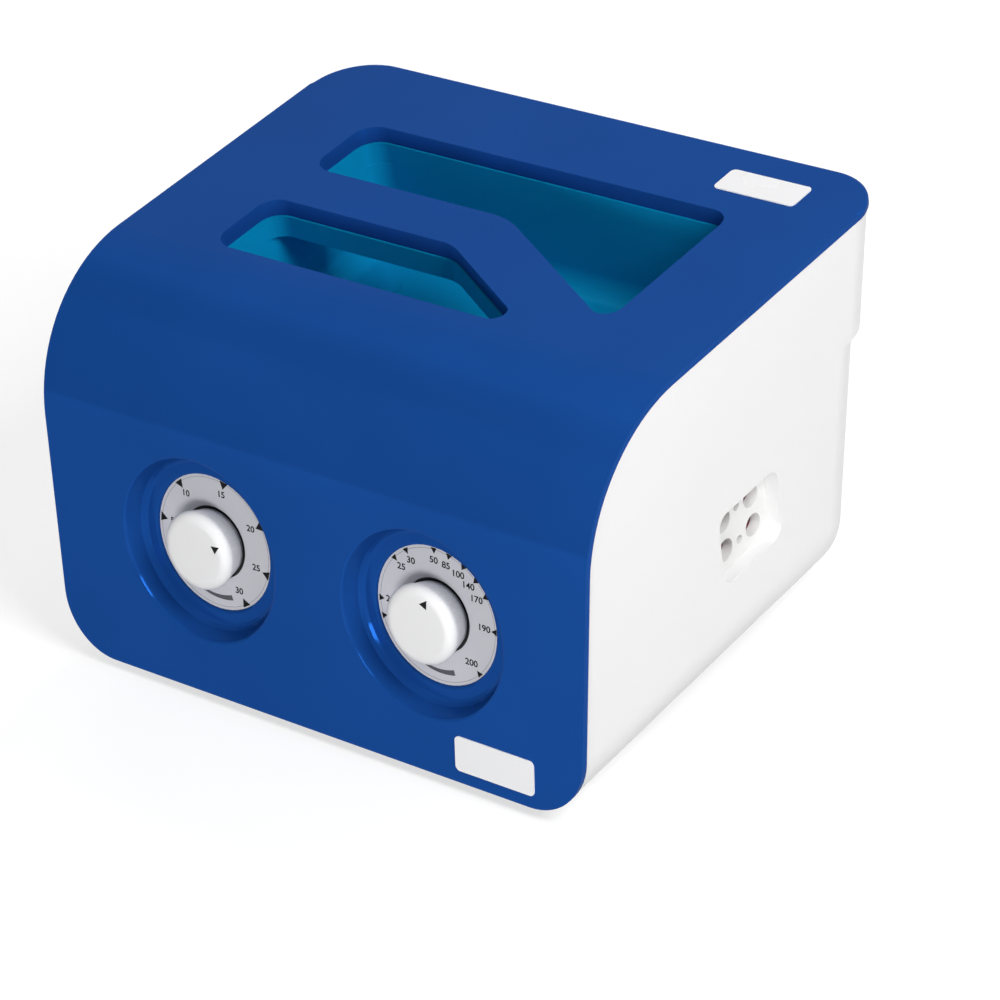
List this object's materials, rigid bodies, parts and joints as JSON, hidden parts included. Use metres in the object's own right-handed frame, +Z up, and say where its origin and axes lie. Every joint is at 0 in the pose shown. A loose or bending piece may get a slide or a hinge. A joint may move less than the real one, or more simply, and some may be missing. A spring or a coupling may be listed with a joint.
{
  "type": "compression therapy pump",
  "caption": "Tabletop air compression pump with rotary dials on a leaning front, hose sockets in one side, and a storage tray with a carrying handle in its top",
  "frame": {"origin": "centre of the outer box, on the surface that the feet stand on", "axes": "+X to the right seen from the front, +Y to the rear, +Z up; the dials face -Y"},
  "size_m": [0.25, 0.213, 0.1444],
  "materials": {
    "cover_blue": "smooth gloss, moulded in colour",
    "housing_white": "smooth satin, moulded in colour",
    "tray_turquoise": "smooth gloss, moulded in colour",
    "knob_grey": "fine satin",
    "dial_grey": "satin with printed scale",
    "label_white": "blank printed film",
    "rubber_black": "matt rubber",
    "steel_plate": "zinc-plated steel",
    "coated_steel": "black coated steel sheet",
    "seal_maroon": "moulded rubber sleeve",
    "brass_parts": "machined brass",
    "black_plastic": "moulded, matt",
    "white_plastic": "moulded, satin",
    "cast_alloy": "die cast",
    "magnet_steel": "nickel-plated magnet",
    "iron_core": "stacked laminations",
    "copper_coil": "enamelled copper wire",
    "soft_tube": "translucent silicone tube",
    "wire_sleeve": "insulated wire",
    "board_green": "solder mask"
  },
  "bodies": {
    "casing": {"blank_labels": "label_white", "bracket_screws": "steel_plate", "chassis_screws": "steel_plate", "circuit_board": "board_green", "cover_screws": "steel_plate", "diaphragm_left": "rubber_black", "diaphragm_right": "rubber_black", "feed_tube": "soft_tube", "hose_socket_block": "white_plastic", "inlet_pins": "brass_parts", "intake_filter": "black_plastic", "main_housing": "housing_white", "outlet_tubes": "soft_tube", "power_inlet": "black_plastic", "pressure_bracket": "coated_steel", "pressure_dial_plate": "dial_grey", "pump_case_base": "black_plastic", "pump_case_lid": "black_plastic", "pump_coil_front": "copper_coil", "pump_coil_rear": "copper_coil", "pump_core_front": "iron_core", "pump_core_rear": "iron_core", "pump_head_left": "cast_alloy", "pump_head_right": "cast_alloy", "pump_isolators": "rubber_black", "pump_tubes": "soft_tube", "regulated_tube": "soft_tube", "regulator_body": "brass_parts", "rubber_feet": "rubber_black", "run_capacitor": "black_plastic", "shaft_nuts": "steel_plate", "socket_caps": "white_plastic", "socket_seals": "seal_maroon", "storage_tray": "tray_turquoise", "terminal_block": "black_plastic", "timer_back_plate": "black_plastic", "timer_bracket": "coated_steel", "timer_case": "black_plastic", "timer_contacts": "brass_parts", "timer_dial_plate": "dial_grey", "top_cover": "cover_blue", "tray_screws": "steel_plate", "tube_tee": "white_plastic", "valve_bridge": "coated_steel", "valve_cap": "white_plastic", "valve_motor": "steel_plate", "valve_stator": "white_plastic", "wiring": "wire_sleeve"},
    "timer_control": {"timer_knob": "knob_grey", "timer_shaft": "steel_plate", "timer_cam": "black_plastic"},
    "pressure_control": {"pressure_knob": "knob_grey", "regulator_stem": "steel_plate", "regulator_spring_seat": "brass_parts", "regulator_spring": "steel_plate", "regulator_disc": "brass_parts"},
    "armature": {"pump_armature": "white_plastic", "armature_magnets": "magnet_steel"},
    "distributor": {"valve_rotor": "white_plastic", "valve_shaft": "steel_plate"}
  },
  "joints": [
    {"name": "timer_turn", "type": "hinge", "parent": "casing", "child": "timer_control", "pos_m": [-0.0512, -0.09581, 0.0606], "axis": [0, -0.9826, 0.1857], "range_deg": [-81, 198]},
    {"name": "pressure_turn", "type": "hinge", "parent": "casing", "child": "pressure_control", "pos_m": [0.0512, -0.09581, 0.0606], "axis": [0, -0.9826, 0.1857], "range_deg": [-118, 123]},
    {"name": "armature_stroke", "type": "slide", "parent": "casing", "child": "armature", "axis": [1, 0, 0], "range_m": [-0.0012, 0.0012], "stiffness_N_per_m": 6000},
    {"name": "distributor_turn", "type": "hinge", "parent": "casing", "child": "distributor", "pos_m": [0.022, 0.00445, 0.056], "axis": [0, 0, 1], "continuous": true}
  ]
}
